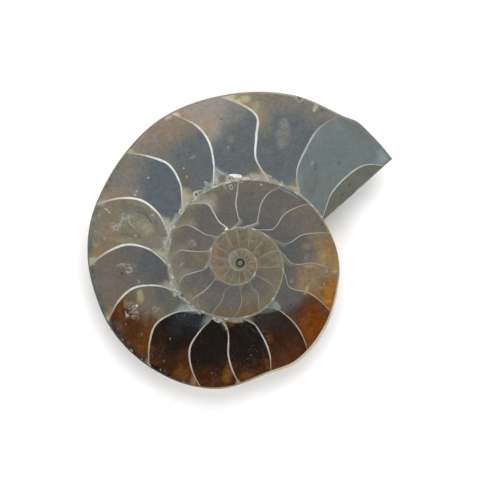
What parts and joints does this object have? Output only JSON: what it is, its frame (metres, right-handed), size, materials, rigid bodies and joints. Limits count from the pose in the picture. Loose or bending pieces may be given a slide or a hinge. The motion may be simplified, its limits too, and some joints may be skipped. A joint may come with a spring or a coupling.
{
  "type": "polished ammonite half",
  "caption": "Coiled ammonite fossil sawn through its middle plane and polished, with curved chamber walls on a flat face; lies on its natural flank as a display specimen.",
  "frame": {"origin": "centre of the outline's box, on the plane that the natural flank rests on", "axes": "+Z out of the polished sawn face; +X along the longest extent, towards the sawn end of the outer whorl; the shell grows clockwise seen from +Z"},
  "size_m": [0.0604, 0.0588, 0.0074],
  "materials": {
    "fossil_stone": "polished face, natural satin flank"
  },
  "bodies": {
    "root": {"ammonite_half": "fossil_stone"}
  },
  "joints": []
}
